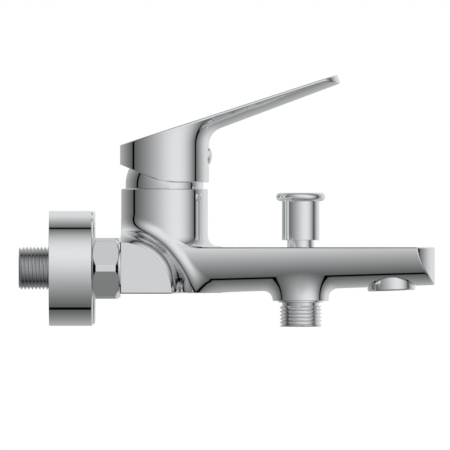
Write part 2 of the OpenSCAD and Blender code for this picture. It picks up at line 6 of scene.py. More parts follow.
import bpy
import numpy as np
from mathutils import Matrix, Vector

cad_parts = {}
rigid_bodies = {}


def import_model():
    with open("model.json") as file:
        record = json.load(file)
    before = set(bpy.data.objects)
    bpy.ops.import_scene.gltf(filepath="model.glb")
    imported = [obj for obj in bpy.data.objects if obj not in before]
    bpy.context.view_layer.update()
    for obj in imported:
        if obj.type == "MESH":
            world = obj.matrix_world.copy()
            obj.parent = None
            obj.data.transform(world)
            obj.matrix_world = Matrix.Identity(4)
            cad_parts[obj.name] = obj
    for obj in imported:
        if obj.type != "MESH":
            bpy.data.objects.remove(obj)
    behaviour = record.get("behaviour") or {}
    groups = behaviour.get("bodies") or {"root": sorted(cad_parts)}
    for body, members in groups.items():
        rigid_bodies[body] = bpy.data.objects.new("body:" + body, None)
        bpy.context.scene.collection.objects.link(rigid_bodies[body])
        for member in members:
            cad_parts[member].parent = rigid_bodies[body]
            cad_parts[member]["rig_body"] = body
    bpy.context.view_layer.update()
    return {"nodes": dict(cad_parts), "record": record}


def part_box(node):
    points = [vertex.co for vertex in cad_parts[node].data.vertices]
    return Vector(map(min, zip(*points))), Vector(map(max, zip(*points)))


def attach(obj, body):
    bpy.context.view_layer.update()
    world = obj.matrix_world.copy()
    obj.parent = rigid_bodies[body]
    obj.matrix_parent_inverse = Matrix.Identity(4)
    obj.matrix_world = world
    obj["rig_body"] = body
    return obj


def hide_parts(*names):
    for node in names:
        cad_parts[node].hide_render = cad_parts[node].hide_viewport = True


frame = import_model()

MM = 0.001
OUT, BACKWARD, UP, DOWN = (1, 0, 0), (-1, 0, 0), (0, 0, 1), (0, 0, -1)

# ---------------------------------------------------------------- sizes, in millimetres


def span(node, axis):
    lo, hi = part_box(node)
    return lo[axis] / MM, hi[axis] / MM


body_x, body_y, body_z = (span("faucet_body", k) for k in range(3))
BACK, REACH = body_x
ARM_END = body_y[1]
TOWER_TOP = body_z[1]
BOSS_BOTTOM = body_z[0]
INLET_Y = sum(span("escutcheon_right", 1)) / 2
TOWER_X = sum(span("retaining_nut", 0)) / 2
DIVERTER_X = sum(span("diverter_knob", 0)) / 2
BOTTOM = -12.5
TOWER_R = 21.65
SPOUT_TOP = 10.35
BOSS_R = 14.05
PIPE_PITCH = 1.814
PIPE_DEPTH = 1.05


# ---------------------------------------------------------------- meshes with exact normals


def new_mesh_piece(name, verts, faces, loop_normals, material):
    """verts in millimetres; loop_normals has one row for each corner of each face, in order."""
    mesh = bpy.data.meshes.new(name)
    mesh.from_pydata((np.asarray(verts) * MM).tolist(), [], faces)
    mesh.polygons.foreach_set("use_smooth", np.ones(len(mesh.polygons), bool))
    mesh.materials.append(material)
    mesh.update()
    mesh.normals_split_custom_set(np.asarray(loop_normals, float).tolist())
    piece = bpy.data.objects.new(name, mesh)
    bpy.context.scene.collection.objects.link(piece)
    return piece


# ---------------------------------------------------------------- implicit solids
# A field is (distance, gradient) at an array of points. Fillets are what a rolling ball leaves.


def unit_or(v, size):
    return v / np.maximum(size, 1e-9)[:, None]


def union(a, b, r=0.0):
    """The union, with a rolling-ball fillet where r is over 0. r may be a field of its own."""
    r, r_slope = r if isinstance(r, tuple) else (r, 0.0)
    pick = a[0] < b[0]
    d = np.where(pick, a[0], b[0])
    g = np.where(pick[:, None], a[1], b[1])
    if np.any(r > 0):
        c = np.clip((a[1] * b[1]).sum(1), -0.98, 0.995)
        va, vb = a[0] - r, b[0] - r
        s = 1 - c * c
        wa, wb = (c * vb - va) / s, (c * va - vb) / s
        size = np.sqrt(np.maximum((va * va + vb * vb - 2 * c * va * vb) / s, 1e-12))
        on = (wa > 0) & (wb > 0) & (c < 0.99)
        d = np.where(on, r - size, d)
        blended = (wa / size)[:, None] * a[1] + (wb / size)[:, None] * b[1]
        blended = blended + (1 - (wa + wb) / size)[:, None] * r_slope
        g = np.where(on[:, None], blended, g)
    return d, g


def bevel(a, b, size):
    """The 45 degree flat that takes the edge off where a and b meet."""
    return (a[0] + b[0] + size) / math.sqrt(2), (a[1] + b[1]) / math.sqrt(2)


def flipped(a):
    return -a[0], -a[1]


def common(a, b, r=0.0):
    return flipped(union(flipped(a), flipped(b), r))


def without(a, b, r=0.0):
    return common(a, flipped(b), r)


def plane(p, point, normal):
    n = np.asarray(normal, float)
    n = n / np.linalg.norm(n)
    return (p - np.asarray(point, float)) @ n, np.broadcast_to(n, p.shape)


def cylinder(p, point, axis, r):
    n = np.asarray(axis, float)
    n = n / np.linalg.norm(n)
    v = p - np.asarray(point, float)
    v = v - (v @ n)[:, None] * n
    size = np.linalg.norm(v, axis=1)
    return size - r, unit_or(v, size)


def sphere(p, centre, r):
    v = p - np.asarray(centre, float)
    size = np.linalg.norm(v, axis=1)
    return size - r, unit_or(v, size)


def surface_nets(field, lo, hi, step):
    """Quads round the zero level of a field on a regular grid."""
    lo, hi = np.asarray(lo, float), np.asarray(hi, float)
    count = np.ceil((hi - lo) / step).astype(int) + 1
    axes = [lo[k] + step * np.arange(count[k]) for k in range(3)]
    values = np.empty(count)
    for i, x in enumerate(axes[0]):
        y, z = np.meshgrid(axes[1], axes[2], indexing="ij")
        values[i] = field(np.stack([np.full(y.size, x), y.ravel(), z.ravel()], 1))[0].reshape(y.shape)
    inside = values < 0
    cells = count - 1
    total = int(np.prod(cells))
    sums, hits = np.zeros((total, 3)), np.zeros(total)
    quads = []
    for k in range(3):
        a, b = (k + 1) % 3, (k + 2) % 3
        first, second = [slice(None)] * 3, [slice(None)] * 3
        first[k], second[k] = slice(None, -1), slice(1, None)
        v0, v1 = values[tuple(first)], values[tuple(second)]
        s0, s1 = inside[tuple(first)], inside[tuple(second)]
        at = np.argwhere(s0 != s1)
        at = at[(at[:, a] > 0) & (at[:, b] > 0) & (at[:, a] < cells[a]) & (at[:, b] < cells[b])]
        i = tuple(at.T)
        t = v0[i] / (v0[i] - v1[i])
        point = lo + step * at
        point[:, k] += step * t
        ring = []
        for da, db in ((0, 0), (1, 0), (1, 1), (0, 1)):
            cell = at.copy()
            cell[:, a] -= da
            cell[:, b] -= db
            index = np.ravel_multi_index(tuple(cell.T), tuple(cells))
            for c in range(3):
                sums[:, c] += np.bincount(index, point[:, c], total)
            hits += np.bincount(index, minlength=total)
            ring.append(index)
        quad = np.stack(ring, 1)
        outward = s0[i]
        quad[~outward] = quad[~outward][:, ::-1]
        quads.append(quad)
    quads = np.concatenate(quads)
    used, faces = np.unique(quads, return_inverse=True)
    return sums[used] / hits[used][:, None], faces.reshape(quads.shape)


def settle(field, p, rounds=6):
    """Points moved down the gradient onto the surface."""
    for _ in range(rounds):
        d, g = field(p)
        p = p - np.clip(d, -1.5, 1.5)[:, None] * g
    return p


def normal_at(field, p):
    g = field(p)[1]
    return g / np.maximum(np.linalg.norm(g, axis=1), 1e-9)[:, None]


def refine(field, verts, tris, flat_tol, turn_tol, shortest):
    """Splits the edges whose middle lies off the surface, or whose normal isn't the mean of its ends'."""
    edges = np.sort(np.concatenate([tris[:, [0, 1]], tris[:, [1, 2]], tris[:, [2, 0]]]), axis=1)
    pairs, where = np.unique(edges, axis=0, return_inverse=True)
    where = where.reshape(3, -1).T
    ends = verts[pairs[:, 0]], verts[pairs[:, 1]]
    middle = (ends[0] + ends[1]) / 2
    length = np.linalg.norm(ends[1] - ends[0], axis=1)
    moved = settle(field, middle, 4)
    n0, n1 = normal_at(field, ends[0]), normal_at(field, ends[1])
    mean = n0 + n1
    mean = mean / np.maximum(np.linalg.norm(mean, axis=1), 1e-9)[:, None]
    turn = np.linalg.norm(mean - normal_at(field, moved), axis=1)
    off = np.linalg.norm(moved - middle, axis=1)
    split = ((off > flat_tol) | (turn > turn_tol)) & (length > shortest)
    number = np.full(len(pairs), -1)
    number[split] = len(verts) + np.arange(split.sum())
    verts = np.concatenate([verts, moved[split]])
    mids = number[where]
    marks = (mids >= 0).sum(1)
    out = [tris[marks == 0]]
    for k in range(3):  # one edge split, the edge from corner k to k + 1
        on = (marks == 1) & (mids[:, k] >= 0)
        t, m = tris[on], mids[on, k]
        a, b, c = t[:, k], t[:, (k + 1) % 3], t[:, (k + 2) % 3]
        out += [np.stack([a, m, c], 1), np.stack([m, b, c], 1)]
        on = (marks == 2) & (mids[:, k] < 0)  # the edge from corner k to k + 1 stays whole
        t = tris[on]
        a, b, c = t[:, k], t[:, (k + 1) % 3], t[:, (k + 2) % 3]
        mb, mc = mids[on, (k + 1) % 3], mids[on, (k + 2) % 3]
        out.append(np.stack([mb, c, mc], 1))
        near = np.linalg.norm(verts[a] - verts[mb], axis=1) < np.linalg.norm(verts[b] - verts[mc], axis=1)
        out += [
            np.stack([a, b, mb], 1)[near],
            np.stack([a, mb, mc], 1)[near],
            np.stack([a, b, mc], 1)[~near],
            np.stack([b, mb, mc], 1)[~near],
        ]
    on = marks == 3
    t, m = tris[on], mids[on]
    out += [np.stack([t[:, k], m[:, k], m[:, (k + 2) % 3]], 1) for k in range(3)] + [m]
    return verts, np.concatenate(out), int(split.sum())


def implicit_mesh(field, lo, hi, step, passes=5, flat_tol=0.012, turn_tol=0.045, shortest=0.16):
    verts, quads = surface_nets(field, lo, hi, step)
    verts = settle(field, verts, 8)
    diagonal = np.linalg.norm(verts[quads[:, 0]] - verts[quads[:, 2]], axis=1) < np.linalg.norm(
        verts[quads[:, 1]] - verts[quads[:, 3]], axis=1
    )
    one, two = quads[diagonal], quads[~diagonal]
    tris = np.concatenate([one[:, [0, 1, 2]], one[:, [0, 2, 3]], two[:, [0, 1, 3]], two[:, [1, 2, 3]]])
    for _ in range(passes):
        verts, tris, grown = refine(field, verts, tris, flat_tol, turn_tol, shortest)
        if not grown:
            break
    return verts, tris, normal_at(field, verts)


def implicit_piece(name, field, lo, hi, step, material):
    verts, tris, normals = implicit_mesh(field, lo, hi, step)
    return new_mesh_piece(name, verts, tris.tolist(), normals[tris.ravel()], material)


# ---------------------------------------------------------------- turned pieces


def rounded_profile(points):
    """The stretches of a closed profile, as pairs of ends. An end is its (r, h), then the normals before and
    after it. A given point is (r, h) or (r, h, fillet)."""
    pts = [np.array(p[:2], float) for p in points]
    fillets = [p[2] if len(p) > 2 else 0 for p in points]
    corners = []
    for i, p in enumerate(pts):
        before, after = pts[i - 1], pts[(i + 1) % len(pts)]
        d0, d1 = p - before, after - p
        d0, d1 = d0 / np.linalg.norm(d0), d1 / np.linalg.norm(d1)
        n0, n1 = np.array([d0[1], -d0[0]]), np.array([d1[1], -d1[0]])
        turn = math.atan2(d0[0] * d1[1] - d0[1] * d1[0], d0 @ d1)
        r = fillets[i]
        if r > 0 and abs(turn) > 1e-3:
            side = 1 if turn > 0 else -1
            start = p - d0 * r * math.tan(abs(turn) / 2)
            centre = start - side * n0 * r
            steps = max(3, int(abs(turn) / 0.18))
            row = []
            for s in range(steps + 1):
                a = turn * s / steps
                cs, sn = math.cos(a), math.sin(a)
                n = np.array([n0[0] * cs - n0[1] * sn, n0[0] * sn + n0[1] * cs])
                row.append((centre + side * r * n, n, n))
            corners.append(row)
        elif abs(turn) < 0.35:
            n = (n0 + n1) / np.linalg.norm(n0 + n1)
            corners.append([(p, n, n)])
        else:
            corners.append([(p, n0, n1)])
    flat = [q for row in corners for q in row]
    return [(flat[i], flat[(i + 1) % len(flat)]) for i in range(len(flat))]


def frame_of(axis):
    axis = np.asarray(axis, float)
    axis = axis / np.linalg.norm(axis)
    side = np.cross(axis, [0, 1, 0] if abs(axis[1]) < 0.9 else [1, 0, 0])
    side /= np.linalg.norm(side)
    return side, np.cross(axis, side), axis


def lathe(name, points, origin, axis, material, segments=144, thread=None):
    """A closed profile turned about an axis. Between the two heights in thread the radius follows a helix."""
    e1, e2, e3 = frame_of(axis)
    rows = rounded_profile(points)
    if thread:
        rows = [piece for row in rows for piece in cut_for_thread(row, thread)]
    angle = np.linspace(0, 2 * math.pi, segments, endpoint=False)
    around = np.cos(angle)[:, None] * e1 + np.sin(angle)[:, None] * e2
    across = -np.sin(angle)[:, None] * e1 + np.cos(angle)[:, None] * e2
    verts, faces, normals = [], [], []
    for (p, _, _), _ in rows:
        radius = np.full(segments, p[0])
        if thread:
            radius = radius + thread_lift(p, angle, thread)[0]
        verts.append(origin + radius[:, None] * around + p[1] * e3)
    verts = np.concatenate(verts)
    total = len(rows)
    apex = [row[0][0][0] < 1e-6 for row in rows]
    for i, ((p, _, n_out), (q, n_in, _)) in enumerate(rows):
        j = (i + 1) % total
        if np.linalg.norm(p - q) < 1e-9 or (apex[i] and apex[j]):
            continue
        a = i * segments + np.arange(segments)
        b = j * segments + np.arange(segments)
        a1, b1 = np.roll(a, -1), np.roll(b, -1)
        na = row_normals(p, n_out, angle, around, across, e3, thread)
        nb = row_normals(q, n_in, angle, around, across, e3, thread)
        na1, nb1 = np.roll(na, -1, 0), np.roll(nb, -1, 0)
        if apex[i]:
            for s in range(segments):
                faces.append((i * segments, b1[s], b[s]))
                normals += [na[s], nb1[s], nb[s]]
        elif apex[j]:
            for s in range(segments):
                faces.append((a[s], a1[s], j * segments))
                normals += [na[s], na1[s], nb[s]]
        else:
            faces += np.stack([a, a1, b1, b], 1).tolist()
            normals += list(np.stack([na, na1, nb1, nb], 1).reshape(-1, 3))
    used = np.unique(np.concatenate([np.asarray(f) for f in faces]))
    number = np.full(len(verts), -1)
    number[used] = np.arange(len(used))
    faces = [tuple(int(number[v]) for v in f) for f in faces]
    return new_mesh_piece(name, verts[used], faces, normals, material)


THREAD_STEPS = 14


def cut_for_thread(row, thread):
    """A straight stretch of crest along the thread is cut into short lengths."""
    (p, p0, p1), (q, q0, q1) = row
    low, high = sorted((p[1], q[1]))
    if abs(p[0] - q[0]) > 1e-6 or high - low < PIPE_PITCH or low > thread[1] or high < thread[0]:
        return [row]
    steps = int((high - low) / PIPE_PITCH * THREAD_STEPS)
    cuts = [(p + (q - p) * s / steps, p1, p1) for s in range(steps + 1)]
    cuts[0], cuts[-1] = (p, p0, p1), (q, q0, q1)
    return [(cuts[s], cuts[s + 1]) for s in range(steps)]


def thread_lift(p, angle, thread):
    """Height of the thread under its crest and its slopes along the axis and round it."""
    phase = 2 * math.pi * p[1] / PIPE_PITCH - angle
    fade = np.clip(min(p[1] - thread[0], thread[1] - p[1]) / (0.6 * PIPE_PITCH) + 0.5, 0, 1)
    depth = PIPE_DEPTH * float(fade * fade * (3 - 2 * fade))
    if not thread[0] <= p[1] <= thread[1]:
        depth = 0.0
    lift = -depth / 2 * (1 - np.cos(phase))
    return lift, -depth / 2 * np.sin(phase) * 2 * math.pi / PIPE_PITCH, depth / 2 * np.sin(phase)


def row_normals(p, n, angle, around, across, axis, thread):
    normals = n[0] * around + n[1] * axis
    if thread and thread[0] <= p[1] <= thread[1] and abs(n[1]) < 0.5:
        _, along, turn = thread_lift(p, angle, thread)
        normals = around - along[:, None] * axis - (turn / p[0])[:, None] * across
    return normals / np.linalg.norm(normals, axis=1)[:, None]


# ---------------------------------------------------------------- materials


def node_material(name):
    m = bpy.data.materials.new(name)
    m.use_nodes = True
    return m, m.node_tree.nodes, m.node_tree.links, m.node_tree.nodes["Principled BSDF"]


def noise_texture(nodes, links, scale, detail=3.0):
    """A noise in object space."""
    coords = nodes.new("ShaderNodeTexCoord")
    noise = nodes.new("ShaderNodeTexNoise")
    noise.inputs["Scale"].default_value = scale
    noise.inputs["Detail"].default_value = detail
    links.new(coords.outputs["Object"], noise.inputs["Vector"])
    return noise.outputs["Fac"]


NOISE_RANGE = (0.3, 0.7)
GRAIN_HEIGHT = 0.0002


def finish_material(name, low_colour, high_colour, metallic, rough, scale, bump=0, bump_scale=0):
    """Colour and roughness wander between two values, with a finer grain on top where bump is over 0."""
    m, nodes, links, bsdf = node_material(name)
    ramp = nodes.new("ShaderNodeValToRGB")
    for element, position, colour in zip(ramp.color_ramp.elements, NOISE_RANGE, (low_colour, high_colour)):
        element.position = position
        element.color = (*colour, 1)
    links.new(noise_texture(nodes, links, scale), ramp.inputs["Fac"])
    links.new(ramp.outputs["Color"], bsdf.inputs["Base Color"])
    ranged = nodes.new("ShaderNodeMapRange")
    for key, value in zip(("From Min", "From Max", "To Min", "To Max"), (*NOISE_RANGE, *rough)):
        ranged.inputs[key].default_value = value
    links.new(noise_texture(nodes, links, scale * 2.3), ranged.inputs["Value"])
    links.new(ranged.outputs["Result"], bsdf.inputs["Roughness"])
    if bump:
        bumped = nodes.new("ShaderNodeBump")
        bumped.inputs["Strength"].default_value = bump
        bumped.inputs["Distance"].default_value = GRAIN_HEIGHT
        links.new(noise_texture(nodes, links, bump_scale, 4.0), bumped.inputs["Height"])
        links.new(bumped.outputs["Normal"], bsdf.inputs["Normal"])
    bsdf.inputs["Metallic"].default_value = metallic
    return m


# low and high colour, metallic, roughness range, size of the mottle, then strength and size of the grain
FINISHES = {
    "chrome": ((0.915, 0.925, 0.93), (0.935, 0.945, 0.95), 1.0, (0.015, 0.045), 38),
    "brass": ((0.62, 0.42, 0.14), (0.78, 0.56, 0.22), 1.0, (0.22, 0.38), 90, 0.25, 1400),
    "steel": ((0.50, 0.51, 0.52), (0.64, 0.65, 0.66), 1.0, (0.2, 0.36), 120, 0.2, 1800),
    "rubber": ((0.012, 0.012, 0.013), (0.024, 0.024, 0.025), 0.0, (0.55, 0.75), 160, 0.5, 2600),
    "ceramic": ((0.80, 0.78, 0.72), (0.88, 0.86, 0.81), 0.0, (0.18, 0.3), 140, 0.15, 2200),
    "white_plastic": ((0.72, 0.72, 0.69), (0.80, 0.80, 0.77), 0.0, (0.35, 0.5), 130, 0.3, 2400),
    "grey_plastic": ((0.12, 0.125, 0.13), (0.19, 0.195, 0.20), 0.0, (0.4, 0.55), 150, 0.35, 2400),
    "raw_thread": ((0.52, 0.53, 0.54), (0.64, 0.65, 0.66), 1.0, (0.05, 0.11), 70),
    "plug": ((0.86, 0.87, 0.88), (0.92, 0.93, 0.94), 1.0, (0.05, 0.1), 60),
}
materials = {name: finish_material(name, *finish) for name, finish in FINISHES.items()}
chrome = materials["chrome"]
slot_of_node = {}
for entry in frame["record"]["materials"]:
    for node_name in entry.get("nodes", []):
        slot_of_node[node_name] = entry["slot"]
for node_name, obj in frame["nodes"].items():
    obj.data.materials.clear()
    obj.data.materials.append(materials[slot_of_node.get(node_name, "chrome")])


def body_of_node(node):
    return frame["nodes"][node]["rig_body"]


def stand_for(piece, *nodes, slot="chrome"):
    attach(piece, body_of_node(nodes[0]))
    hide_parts(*nodes)


# ---------------------------------------------------------------- body

ARM_R_END, ARM_R_ROOT, ARM_ROOT_Y = 25.5, 30.5, 21.4
ARM_FILLET, ARM_FILLET_FOOT = 8.0, 24.0
ARM_BEVEL = 0.5
ROOT_FILLET = 6.0
UNDER_FILLET = 9.5
BOSS_FILLET, BOSS_FILLET_FRONT = 4.6, 14.5
SPOUT_ROOT_X = 79.0
SPOUT_AXIS_Z, SPOUT_RISE, SPOUT_TAPER, SPOUT_BEND = 9.2, 0.02035, 0.0145, 8.0
SPOUT_TIP_PLAN_R = 26.8
BOSS_TOP = 6.0
BORE_R, BORE_FLOOR = 17.7, 8.0
MOUTH_R, MOUTH_FLOOR = 19.1, 31.0
AERATOR = (170.35, 0.0, -11.35)
AERATOR_TILT = math.radians(2.2)
AERATOR_R = 11.95
POCKET_GAP, POCKET_DEPTH = 0.3, 9.5


def arm_field(p):
    taper = (ARM_R_ROOT - ARM_R_END) / (ARM_END - ARM_ROOT_Y)
    u, w, side = p[:, 0] - BACK, p[:, 2] - BOTTOM, np.sign(p[:, 1])
    rho = np.hypot(u, w)
    lean = 1 / math.hypot(1, taper)
    d = (rho - ARM_R_END - (ARM_END - np.abs(p[:, 1])) * taper) * lean
    g = np.stack([u / np.maximum(rho, 1e-9), taper * side, w / np.maximum(rho, 1e-9)], 1) * lean
    end = np.abs(p[:, 1]) - ARM_END, np.stack([0 * u, side, 0 * u], 1)
    back, foot = plane(p, (BACK, 0, 0), BACKWARD), plane(p, (0, 0, BOTTOM), DOWN)
    shape = common((d, g), end, 0.5)
    for face in (back, foot):
        shape = common(shape, bevel(face, end, ARM_BEVEL), 0.12)
    return shape


def spout_field(p):
    """The spout's round underside and tip. Its sides carry on straight up, and close behind the tower."""
    u = p[:, 0] - SPOUT_ROOT_X
    bend = np.sqrt(u * u + SPOUT_BEND**2)
    run, slope = (u + bend) / 2, (1 + u / bend) / 2
    zc, radius = SPOUT_AXIS_Z + SPOUT_RISE * run, TOWER_R - SPOUT_TAPER * run
    w, heel = np.minimum(p[:, 2] - zc, 0), np.minimum(p[:, 0] - TOWER_X, 0)
    rho = np.maximum(np.sqrt(p[:, 1] ** 2 + w * w + heel * heel), 1e-9)
    forward = (heel - SPOUT_RISE * slope * w) / rho + SPOUT_TAPER * slope
    g = np.stack([forward, p[:, 1] / rho, w / rho], 1)
    shape = rho - radius, g
    along = np.maximum(p[:, 0] - (REACH - SPOUT_TIP_PLAN_R), 0)
    reach = np.maximum(np.hypot(along, p[:, 1]), 1e-9)
    tip = reach - SPOUT_TIP_PLAN_R, np.stack([along / reach, p[:, 1] / reach, 0 * u], 1)
    return common(shape, tip, 1.0)


def aerator_axis():
    return np.array([-math.sin(AERATOR_TILT), 0, math.cos(AERATOR_TILT)])


FLARE_POWER = 2.6


def flare_radius(p):
    """The arm's fillet opens out toward the foot."""
    depth = np.clip((ARM_FILLET - p[:, 2]) / (ARM_FILLET - BOTTOM), 0, 1)
    grow = ARM_FILLET_FOOT - ARM_FILLET
    slope = np.zeros_like(p)
    slope[:, 2] = -FLARE_POWER * grow * depth ** (FLARE_POWER - 1) / (ARM_FILLET - BOTTOM)
    return ARM_FILLET + grow * depth**FLARE_POWER, slope


def skirt_radius(p):
    """The boss's fillet opens out toward the front and the back of the spout."""
    x, y, low = p[:, 0] - DIVERTER_X, p[:, 1], p[:, 2] < 0
    rho = np.maximum(np.hypot(x, y), 1.0)
    grow = np.where(low, BOSS_FILLET_FRONT - BOSS_FILLET, 0)
    slope = np.stack([-4 * x**3 * y * y, 4 * x**4 * y, 0 * x], 1) * (grow / rho**6)[:, None]
    return np.where(low, BOSS_FILLET, 0.5) + grow * (1 - (x / rho) ** 4), slope


def body_field(p):
    tower = cylinder(p, (TOWER_X, 0, 0), UP, TOWER_R)
    tower = common(tower, plane(p, (0, 0, TOWER_TOP), UP), 0.35)
    topped = union(tower, plane(p, (0, 0, SPOUT_TOP), UP), ROOT_FILLET)
    spout = spout_field(p)
    spout = common(common(topped, spout, 0.15), bevel(topped, spout, 0.5), 0.15)
    core = union(spout, tower, UNDER_FILLET)
    shape = union(arm_field(p), core, flare_radius(p))
    shape = common(shape, plane(p, (BACK, 0, 0), BACKWARD), 0.4)
    shape = common(shape, plane(p, (0, 0, BOTTOM), DOWN), 0.4)
    boss = cylinder(p, (DIVERTER_X, 0, 0), UP, BOSS_R)
    boss = common(boss, plane(p, (0, 0, BOSS_BOTTOM), DOWN), 0.4)
    boss = common(boss, plane(p, (0, 0, BOSS_TOP), UP))
    shape = union(shape, boss, skirt_radius(p))
    bore = common(cylinder(p, (TOWER_X, 0, 0), UP, BORE_R), plane(p, (0, 0, BORE_FLOOR), DOWN))
    mouth = common(cylinder(p, (TOWER_X, 0, 0), UP, MOUTH_R), plane(p, (0, 0, MOUTH_FLOOR), DOWN))
    shape = without(shape, union(bore, mouth), 0.25)
    axis = aerator_axis()
    pocket = cylinder(p, AERATOR, axis, AERATOR_R + POCKET_GAP)
    pocket = common(pocket, plane(p, AERATOR + axis * POCKET_DEPTH, axis))
    return without(shape, pocket, 0.3)


BODY_STEP, LEVER_STEP, NUT_STEP = 1.25, 1.1, 1.0
MARGIN = 2.2
faucet_skin = implicit_piece(
    "body_casting",
    body_field,
    (BACK - MARGIN, -ARM_END - MARGIN, BOSS_BOTTOM - MARGIN),
    (REACH + MARGIN, ARM_END + MARGIN, TOWER_TOP + MARGIN),
    BODY_STEP,
    chrome,
)
stand_for(faucet_skin, "faucet_body")

# ---------------------------------------------------------------- lever

CAP_R = 22.25
CAP_BACK = np.array([TOWER_X - CAP_R, 61.45])
LEVER_SLOPE = math.radians(18)
BLADE_SLOPE = math.radians(20.5)
BEND_INNER_R = 9.0
BEND_R = CAP_R + BEND_INNER_R
BEND_X = TOWER_X + BEND_R
PIVOT_Z = 41.5
LEVER_REACH = 143.0
# the blade's end face: its height, and how far its foot stands out past its top
TIP_HEIGHT, TIP_LEAN = 4.55, 1.2
TIP_Z = CAP_BACK[1] + (LEVER_REACH - CAP_BACK[0]) * math.tan(LEVER_SLOPE)
blade_rise = (LEVER_REACH + TIP_LEAN - BEND_X) * math.tan(BLADE_SLOPE)
BEND_Z = TIP_Z - TIP_HEIGHT - blade_rise - BEND_INNER_R / math.cos(BLADE_SLOPE)
RIM_Z, RIM_ARC_R, RIM_ARC_X, RIM_TILT = 42.85, 41.0, 64.0, math.radians(23)
BLADE_TIP_R = 14.0
LEVER_EDGE = 0.85
DOME_ROOM_R = 20.3
PLUG_Z = 56.1
PLUG_HOLE_R, PLUG_HOLE_DEPTH = 4.25, 3


def sweep_field(p):
    """Tube of constant section up the cap, round the bend and out along the blade."""
    x, z = p[:, 0] - BEND_X, p[:, 2] - BEND_Z
    cs, sn = math.cos(BLADE_SLOPE), math.sin(BLADE_SLOPE)
    out = (x * cs + z * sn) > 0
    up = z < 0
    rho = np.maximum(np.hypot(x, z), 1e-9)
    s = np.where(up, BEND_R + x, BEND_R - rho)
    gx, gz = np.where(up, 1.0, -x / rho), np.where(up, 0.0, -z / rho)
    s = np.where(out, BEND_R + x * sn - z * cs, s)
    gx, gz = np.where(out, sn, gx), np.where(out, -cs, gz)
    size = np.maximum(np.hypot(s, p[:, 1]), 1e-9)
    return size - CAP_R, np.stack([gx * s / size, p[:, 1] / size, gz * s / size], 1)


def rim_field(p):
    """Space under the cap's slanted rim."""
    x, z = p[:, 0] - RIM_ARC_X, p[:, 2] - RIM_Z - RIM_ARC_R
    rho = np.maximum(np.hypot(x, z), 1e-9)
    sn, cs = math.sin(RIM_TILT), math.cos(RIM_TILT)
    d, gx, gz = RIM_ARC_R - rho, -x / rho, -z / rho
    level = x >= 0
    d, gx, gz = (np.where(level, a, b) for a, b in ((z + RIM_ARC_R, d), (0.0, gx), (1.0, gz)))
    steep = (-x * cs + z * sn) > 0
    ramp = ((x * sn + z * cs + RIM_ARC_R, d), (sn, gx), (cs, gz))
    d, gx, gz = (np.where(steep & ~level, a, b) for a, b in ramp)
    return d, np.stack([gx, 0 * gx, gz], 1)


def lever_field(p):
    sn, cs = math.sin(LEVER_SLOPE), math.cos(LEVER_SLOPE)
    back = (CAP_BACK[0], 0, CAP_BACK[1])
    shape = common(sweep_field(p), plane(p, back, (-sn, 0, cs)), LEVER_EDGE)
    length = (LEVER_REACH - CAP_BACK[0]) / cs + 0.3 - BLADE_TIP_R
    t = (p - np.asarray(back)) @ np.array([cs, 0, sn]) - length
    ahead = np.maximum(t, 0)
    size = np.maximum(np.hypot(ahead, p[:, 1]), 1e-9)
    spare = 0.5 * np.minimum(t, 0)
    g = np.stack([ahead / size * cs, p[:, 1] / size, ahead / size * sn], 1)
    shape = common(shape, (size - BLADE_TIP_R + spare, g), LEVER_EDGE)
    shape = without(shape, rim_field(p), 0.45)
    shape = without(shape, sphere(p, (TOWER_X, 0, PIVOT_Z), DOME_ROOM_R), 0.25)
    hole = cylinder(p, (0, 0, PLUG_Z), OUT, PLUG_HOLE_R)
    hole = common(hole, plane(p, (TOWER_X + CAP_R - PLUG_HOLE_DEPTH, 0, 0), BACKWARD))
    return without(shape, hole, 0.15)


lever = implicit_piece(
    "lever_casting",
    lever_field,
    (TOWER_X - CAP_R - MARGIN, -CAP_R - MARGIN, RIM_Z - 3),
    (LEVER_REACH + 4, CAP_R + MARGIN, TIP_Z + 4),
    LEVER_STEP,
    chrome,
)
stand_for(lever, "lever_handle")

# ---------------------------------------------------------------- turned pieces

DOME_R, DOME_INNER_R = 19.45, 18.35


def dome_arc(r, start, end, count):
    """Points of a circle round the lever's pivot, between two angles in radians."""
    return [(r * math.cos(a), PIVOT_Z + r * math.sin(a)) for a in np.linspace(start, end, count)]


dome_profile = [(17.7, 36.8), (18.9, 36.8, 0.2), (18.9, 39.4)]
dome_profile += dome_arc(DOME_R, -0.1055, 0.8727, 28) + dome_arc(DOME_INNER_R, 0.8206, 0.0, 20)
dome_profile += [(17.7, 41.0)]
dome = lathe(
    "dome_cover_shell",
    dome_profile,
    np.array([TOWER_X, 0, 0]),
    UP,
    chrome,
)
stand_for(dome, "dome_cover")

knob = lathe(
    "knob_turned",
    [
        (6.95, 13.85, 0.2),
        (9.35, 13.85, 0.35),
        (9.35, 33.5, 0.25),
        (12.2, 33.5, 2.0),
        (12.2, 37.65, 2.0),
        (0, 37.65),
        (0, 31.5),
        (6.95, 31.5),
    ],
    np.array([DIVERTER_X, 0, 0]),
    UP,
    chrome,
)
stand_for(knob, "diverter_knob")

gland = lathe(
    "gland_turned",
    [
        (2.08, 5),
        (5.5, 5),
        (5.5, SPOUT_TOP),
        (6.7, SPOUT_TOP),
        (6.7, 24, 0.3),
        (3.5, 24, 0.2),
        (3.5, 20),
        (2.08, 20),
    ],
    np.array([DIVERTER_X, 0, 0]),
    UP,
    chrome,
)
stand_for(gland, "diverter_gland")

